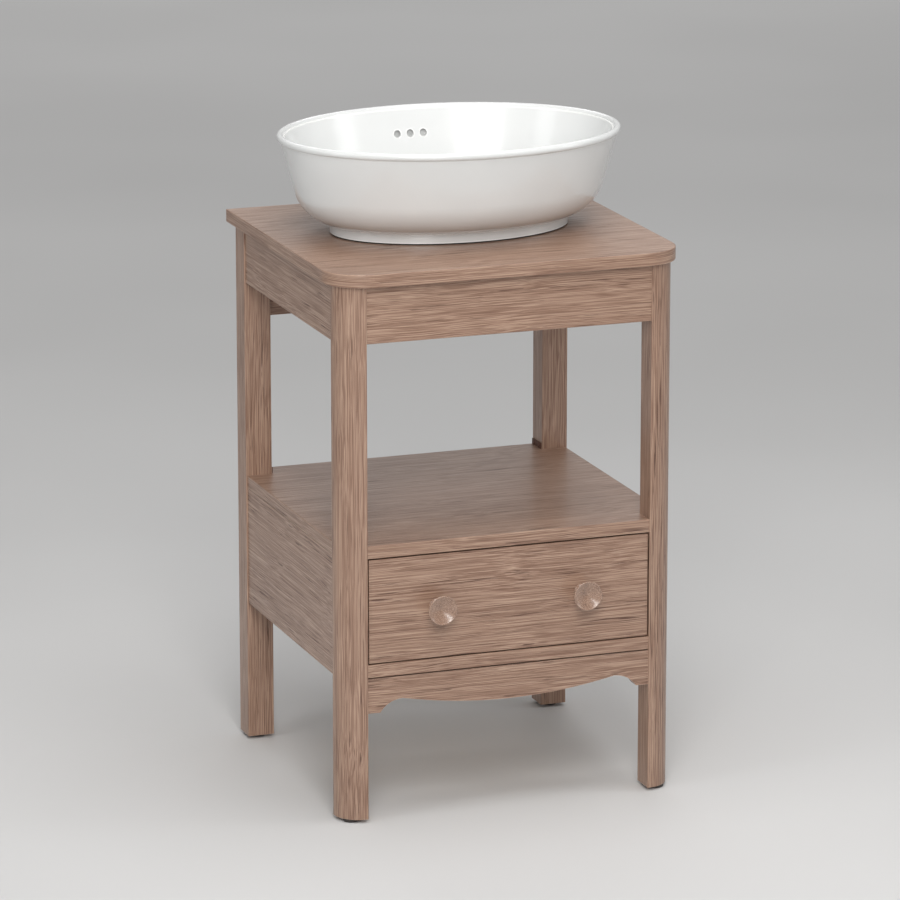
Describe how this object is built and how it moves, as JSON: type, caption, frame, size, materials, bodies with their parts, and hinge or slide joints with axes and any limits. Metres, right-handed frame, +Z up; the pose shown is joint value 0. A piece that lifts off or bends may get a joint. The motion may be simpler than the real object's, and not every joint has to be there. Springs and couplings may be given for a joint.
{
  "type": "vessel sink on vanity",
  "caption": "Oval ceramic vessel basin standing on a small wooden washstand with round-cornered legs, an open shelf, an inset drawer with turned knobs and a scalloped apron.",
  "frame": {"origin": "on the floor, at the middle of the overall footprint (knobs included)", "axes": "+Z up, the drawer opens towards -Y, +X to the right of a person who stands in front of the drawer and faces it"},
  "size_m": [0.5, 0.482, 0.895],
  "materials": {
    "oak": "satin lacquer over open grain",
    "carcass_wood": "bare planed wood",
    "plywood": "sanded plywood",
    "ceramic": "gloss glaze",
    "chrome": "polished",
    "brass": "machined",
    "rubber": "matte",
    "waste_plastic": "moulded",
    "zinc_steel": "zinc plated",
    "cage_steel": "plain steel",
    "dark_steel": "dark lacquer",
    "foot_plastic": "moulded, fine texture"
  },
  "bodies": {
    "frame": {"basin": "ceramic", "basin_seal": "rubber", "bottom_rail": "oak", "case_back": "oak", "case_small_screws": "dark_steel", "cleat_screws": "zinc_steel", "countertop": "oak", "foot_inserts": "brass", "frame_dowels": "carcass_wood", "leg_back_left": "oak", "leg_back_right": "oak", "leg_front_left": "oak", "leg_front_right": "oak", "plug_cartridge": "waste_plastic", "runner_outer_left": "zinc_steel", "runner_outer_right": "zinc_steel", "runner_packer_left": "carcass_wood", "runner_packer_right": "carcass_wood", "scalloped_apron": "oak", "shelf": "oak", "shelf_keepers": "dark_steel", "side_panel_left": "oak", "side_panel_right": "oak", "top_cleat_left": "carcass_wood", "top_cleat_right": "carcass_wood", "top_rail_back": "oak", "top_rail_front": "oak", "top_rail_left": "oak", "top_rail_right": "oak", "waste_body": "chrome", "waste_hard_washer": "waste_plastic", "waste_nut": "brass", "waste_rubber_washer": "rubber", "waste_top_seal": "rubber"},
    "drawer": {"drawer_front": "oak", "drawer_box_front": "carcass_wood", "drawer_box_back": "carcass_wood", "drawer_side_left": "carcass_wood", "drawer_side_right": "carcass_wood", "drawer_bottom": "plywood", "drawer_box_dowels": "carcass_wood", "knob_left": "oak", "knob_right": "oak", "knob_screws": "zinc_steel", "drawer_front_screws": "zinc_steel", "drawer_runner_screws": "zinc_steel", "runner_inner_left": "zinc_steel", "runner_inner_right": "zinc_steel"},
    "runner_middle_left": {"runner_middle_left": "zinc_steel"},
    "outer_ball_cage_left": {"outer_ball_cage_left": "cage_steel"},
    "inner_ball_cage_left": {"inner_ball_cage_left": "cage_steel"},
    "runner_middle_right": {"runner_middle_right": "zinc_steel"},
    "outer_ball_cage_right": {"outer_ball_cage_right": "cage_steel"},
    "inner_ball_cage_right": {"inner_ball_cage_right": "cage_steel"},
    "waste_plug": {"waste_plug": "chrome"},
    "foot_front_left": {"foot_front_left": "foot_plastic"},
    "foot_front_right": {"foot_front_right": "foot_plastic"},
    "foot_back_left": {"foot_back_left": "foot_plastic"},
    "foot_back_right": {"foot_back_right": "foot_plastic"}
  },
  "joints": [
    {"name": "drawer_slide", "type": "slide", "parent": "frame", "child": "drawer", "axis": [0, -1, 0], "range_m": [0, 0.3]},
    {"name": "runner_middle_left_slide", "type": "slide", "parent": "frame", "child": "runner_middle_left", "axis": [0, -1, 0], "range_m": [0, 0.152]},
    {"name": "outer_ball_cage_left_slide", "type": "slide", "parent": "frame", "child": "outer_ball_cage_left", "axis": [0, -1, 0], "range_m": [0, 0.077]},
    {"name": "inner_ball_cage_left_slide", "type": "slide", "parent": "frame", "child": "inner_ball_cage_left", "axis": [0, -1, 0], "range_m": [0, 0.227]},
    {"name": "runner_middle_right_slide", "type": "slide", "parent": "frame", "child": "runner_middle_right", "axis": [0, -1, 0], "range_m": [0, 0.152]},
    {"name": "outer_ball_cage_right_slide", "type": "slide", "parent": "frame", "child": "outer_ball_cage_right", "axis": [0, -1, 0], "range_m": [0, 0.077]},
    {"name": "inner_ball_cage_right_slide", "type": "slide", "parent": "frame", "child": "inner_ball_cage_right", "axis": [0, -1, 0], "range_m": [0, 0.227]},
    {"name": "waste_plug_lift", "type": "slide", "parent": "frame", "child": "waste_plug", "axis": [0, 0, 1], "range_m": [0, 0.008]},
    {"name": "foot_front_left_level", "type": "slide", "parent": "frame", "child": "foot_front_left", "axis": [0, 0, -1], "range_m": [0, 0.01]},
    {"name": "foot_front_right_level", "type": "slide", "parent": "frame", "child": "foot_front_right", "axis": [0, 0, -1], "range_m": [0, 0.01]},
    {"name": "foot_back_left_level", "type": "slide", "parent": "frame", "child": "foot_back_left", "axis": [0, 0, -1], "range_m": [0, 0.01]},
    {"name": "foot_back_right_level", "type": "slide", "parent": "frame", "child": "foot_back_right", "axis": [0, 0, -1], "range_m": [0, 0.01]}
  ],
  "couplings": [
    {"joint": "runner_middle_left_slide", "follows": "drawer_slide", "ratio": 0.5},
    {"joint": "outer_ball_cage_left_slide", "follows": "drawer_slide", "ratio": 0.25},
    {"joint": "inner_ball_cage_left_slide", "follows": "drawer_slide", "ratio": 0.75},
    {"joint": "runner_middle_right_slide", "follows": "drawer_slide", "ratio": 0.5},
    {"joint": "outer_ball_cage_right_slide", "follows": "drawer_slide", "ratio": 0.25},
    {"joint": "inner_ball_cage_right_slide", "follows": "drawer_slide", "ratio": 0.75}
  ]
}
